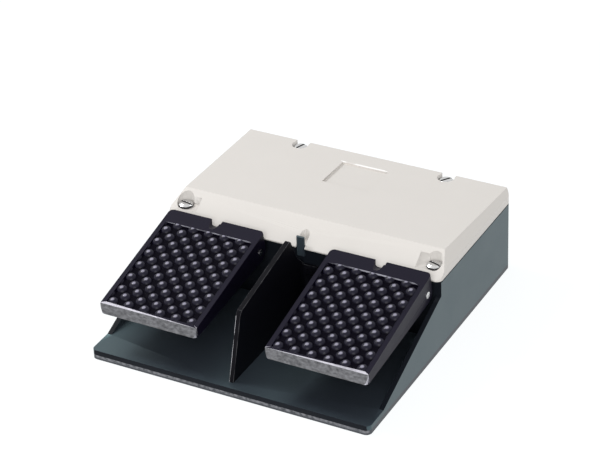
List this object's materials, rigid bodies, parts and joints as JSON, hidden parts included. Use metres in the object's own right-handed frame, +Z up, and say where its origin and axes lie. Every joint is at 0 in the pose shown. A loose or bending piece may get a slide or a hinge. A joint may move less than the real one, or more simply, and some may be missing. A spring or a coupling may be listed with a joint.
{
  "type": "industrial foot switch",
  "caption": "Double-pedal foot switch: cast tray with a divider between studded pedals, sprung plungers through the wall of a covered switch compartment, and a rear cable gland.",
  "frame": {"origin": "middle of the base's footprint, in the plane of the base plate's underside", "axes": "+Z up, +Y to the rear (cable side), +X to the operator's right; the operator stands at -Y"},
  "size_m": [0.25, 0.2875, 0.0815],
  "materials": {
    "casting_paint": "semi-gloss paint on cast aluminium",
    "divider_paint": "semi-gloss paint on sheet steel",
    "pedal_paint": "satin paint on cast aluminium, front face left bare",
    "cover_paint": "smooth light grey-cream satin paint",
    "plate_zinc": "dull zinc plate",
    "screw_zinc": "zinc plate",
    "screw_nickel": "bright nickel",
    "pin_steel": "ground steel",
    "spring_steel": "drawn spring wire",
    "bronze": "machined bronze",
    "terminal_brass": "machined brass",
    "gland_nickel": "nickel-plated brass",
    "rubber_tread": "satin moulded rubber",
    "rubber_black": "matt black rubber",
    "switch_plastic": "moulded thermoset",
    "plug_plastic": "moulded plastic"
  },
  "bodies": {
    "base": {"base_casting": "casting_paint", "base_plate": "plate_zinc", "base_plate_screws": "screw_zinc", "rubber_feet": "rubber_black", "cover": "cover_paint", "cover_gasket": "rubber_black", "cover_screws": "screw_nickel", "divider": "divider_paint", "divider_screws": "screw_zinc", "pivot_bushes": "bronze", "stop_buffers": "rubber_black", "return_spring_left": "spring_steel", "return_spring_right": "spring_steel", "guide_bushes": "bronze", "guide_nuts": "bronze", "rod_seals": "rubber_black", "switch_left": "switch_plastic", "switch_right": "switch_plastic", "switch_terminals_left": "terminal_brass", "switch_terminals_right": "terminal_brass", "switch_brackets": "plate_zinc", "bracket_screws": "screw_zinc", "block_screws": "screw_zinc", "earth_terminal": "terminal_brass", "gland_body": "gland_nickel", "gland_seal": "rubber_black", "gland_nut": "gland_nickel", "gland_locknut": "gland_nickel", "gland_washer": "rubber_black", "blanking_plug": "plug_plastic"},
    "left_pedal": {"pedal_left": "pedal_paint", "tread_left": "rubber_tread", "pin_left": "pin_steel"},
    "right_pedal": {"pedal_right": "pedal_paint", "tread_right": "rubber_tread", "pin_right": "pin_steel"},
    "left_plunger": {"plunger_left": "pin_steel", "collar_left": "screw_zinc"},
    "right_plunger": {"plunger_right": "pin_steel", "collar_right": "screw_zinc"}
  },
  "joints": [
    {"name": "left_pedal_hinge", "type": "hinge", "parent": "base", "child": "left_pedal", "pos_m": [-0.075, -0.0165, 0.0575], "axis": [1, 0, 0], "range_deg": [0, 10], "stiffness_Nm_per_rad": 3, "springref_deg": -21.2},
    {"name": "left_plunger_slide", "type": "slide", "parent": "base", "child": "left_plunger", "axis": [0, 1, 0], "range_m": [0, 0.0042], "deforming": ["return_spring_left"]},
    {"name": "right_pedal_hinge", "type": "hinge", "parent": "base", "child": "right_pedal", "pos_m": [0.075, -0.0165, 0.0575], "axis": [1, 0, 0], "range_deg": [0, 10], "stiffness_Nm_per_rad": 3, "springref_deg": -21.2},
    {"name": "right_plunger_slide", "type": "slide", "parent": "base", "child": "right_plunger", "axis": [0, 1, 0], "range_m": [0, 0.0042], "deforming": ["return_spring_right"]}
  ],
  "couplings": [
    {"joint": "left_plunger_slide", "follows": "left_pedal_hinge", "m_per_rad": 0.0235},
    {"joint": "right_plunger_slide", "follows": "right_pedal_hinge", "m_per_rad": 0.0235}
  ]
}
